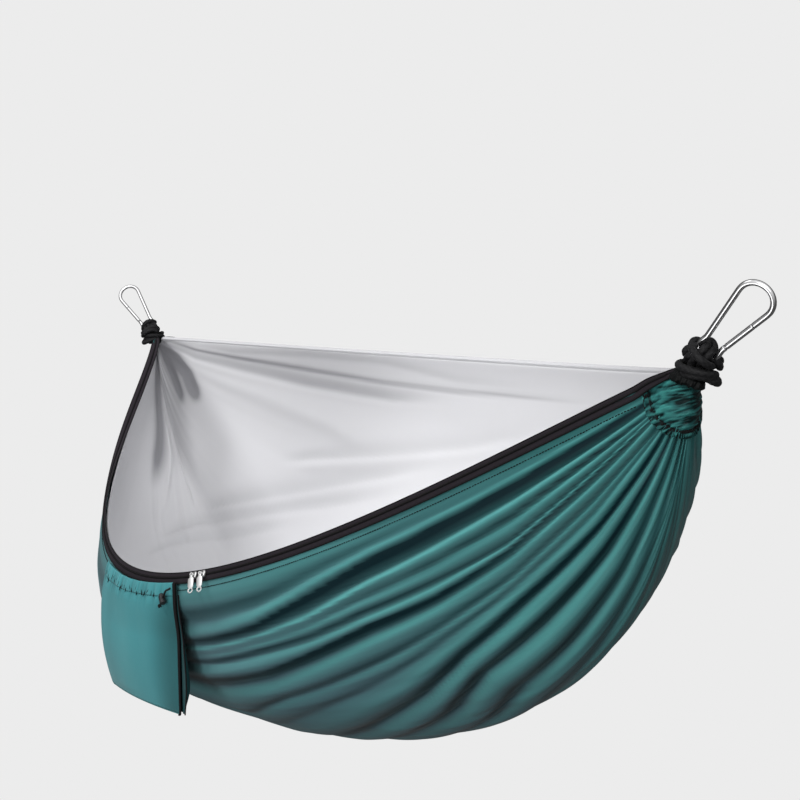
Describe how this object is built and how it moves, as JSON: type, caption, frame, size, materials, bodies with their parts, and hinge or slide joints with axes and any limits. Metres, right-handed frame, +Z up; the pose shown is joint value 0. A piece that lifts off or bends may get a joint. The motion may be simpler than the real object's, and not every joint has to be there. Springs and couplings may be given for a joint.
{
  "type": "hammock tent",
  "caption": "Gathered-end camping hammock with a zipped insect net lying open inside, a snap hook knotted to each end and a stuff sack on its edge.",
  "frame": {"origin": "axis of the rod at the crown of the left hook's bow, where the hanging strap bears", "axes": "+X from the left hook to the right hook, +Z up, -Y towards the zipped edge"},
  "size_m": [2.3781, 0.6651, 0.6593],
  "materials": {
    "bed_nylon": "satin woven nylon, blue green",
    "sack_nylon": "satin woven nylon, blue green",
    "net": "fine matt mesh, light grey",
    "black_tape": "matt woven tape, black",
    "rope": "braided cord, black",
    "black_plastic": "matt, black",
    "steel": "polished zinc plate",
    "slider_metal": "bright satin"
  },
  "bodies": {
    "hammock": {"bed_panel": "bed_nylon", "insect_net": "net", "far_hem": "bed_nylon", "zip_tape_bed": "black_tape", "zip_tape_net": "black_tape", "zip_coil": "black_plastic", "net_edge_piping": "black_tape", "left_end_sleeve": "bed_nylon", "left_end_collar": "black_tape", "left_knot_turns": "rope", "left_cross_turn": "rope", "left_hang_loop_a": "rope", "left_hang_loop_b": "rope", "right_end_sleeve": "bed_nylon", "right_end_collar": "black_tape", "right_knot_turns": "rope", "right_cross_turn": "rope", "right_hang_loop_a": "rope", "right_hang_loop_b": "rope"},
    "left_hook": {"left_hook_body": "steel", "left_hinge_pin": "steel"},
    "left_gate": {"left_hook_gate": "steel", "left_gate_spring": "steel"},
    "left_slider": {"left_slider": "slider_metal"},
    "left_pull": {"left_pull_tab": "slider_metal"},
    "right_hook": {"right_hook_body": "steel", "right_hinge_pin": "steel"},
    "right_gate": {"right_hook_gate": "steel", "right_gate_spring": "steel"},
    "right_slider": {"right_slider": "slider_metal"},
    "right_pull": {"right_pull_tab": "slider_metal"},
    "sack": {"sack_front": "sack_nylon", "sack_back": "sack_nylon", "sack_piping": "black_tape", "sack_mouth_hem": "sack_nylon", "sack_drawcord": "rope", "drawcord_knot": "rope"},
    "cord_lock": {"cord_lock_barrel": "black_plastic"},
    "cord_lock_button": {"cord_lock_button": "black_plastic"}
  },
  "joints": [
    {"name": "left_hook_swing", "type": "hinge", "parent": "hammock", "child": "left_hook", "pos_m": [0.06052, 0.03722, -0.08067], "axis": [-0.2003, -0.8238, -0.5303], "range_deg": [-25, 25]},
    {"name": "left_gate_hinge", "type": "hinge", "parent": "left_hook", "child": "left_gate", "pos_m": [0.04314, 0.01873, -0.06637], "axis": [-0.8018, 0.4489, -0.3944], "range_deg": [0, 24], "stiffness_Nm_per_rad": 0.12, "springref_deg": -14.32},
    {"name": "right_hook_swing", "type": "hinge", "parent": "hammock", "child": "right_hook", "pos_m": [2.29065, 0.05109, -0.08341], "axis": [0.3704, 0.6332, -0.6796], "range_deg": [-25, 25]},
    {"name": "right_gate_hinge", "type": "hinge", "parent": "right_hook", "child": "right_gate", "pos_m": [2.3145, 0.06488, -0.07393], "axis": [0.5709, -0.7323, -0.3712], "range_deg": [0, 24], "stiffness_Nm_per_rad": 0.12, "springref_deg": -14.32},
    {"name": "left_slider_run", "type": "hinge", "parent": "hammock", "child": "left_slider", "pos_m": [1.14568, 0.59402, 0.42917], "axis": [0.001, -0.7, 0.7142], "range_deg": [-1.6, 0.52]},
    {"name": "left_pull_flip", "type": "hinge", "parent": "left_slider", "child": "left_pull", "pos_m": [1.44738, -0.25685, -0.3941], "axis": [-0.9688, -0.1778, -0.1728], "range_deg": [0, 150]},
    {"name": "right_slider_run", "type": "hinge", "parent": "hammock", "child": "right_slider", "pos_m": [1.13672, 0.61703, 0.45399], "axis": [0.0013, -0.7009, 0.7133], "range_deg": [-0.5, 5.03]},
    {"name": "right_pull_flip", "type": "hinge", "parent": "right_slider", "child": "right_pull", "pos_m": [1.47277, -0.25198, -0.38939], "axis": [-0.9632, -0.1925, -0.1874], "range_deg": [0, 150]},
    {"name": "sack_swing", "type": "hinge", "parent": "hammock", "child": "sack", "pos_m": [1.21912, -0.2614, -0.41405], "axis": [-1, 0, 0], "range_deg": [0, 70]},
    {"name": "cord_lock_slide", "type": "slide", "parent": "sack", "child": "cord_lock", "axis": [0.7001, 0.075, 0.7101], "range_m": [0, 0.0105]},
    {"name": "cord_lock_press", "type": "slide", "parent": "cord_lock", "child": "cord_lock_button", "axis": [0.7121, 0, -0.7021], "range_m": [0, 0.003], "stiffness_N_per_m": 300, "springref_m": -0.002}
  ]
}
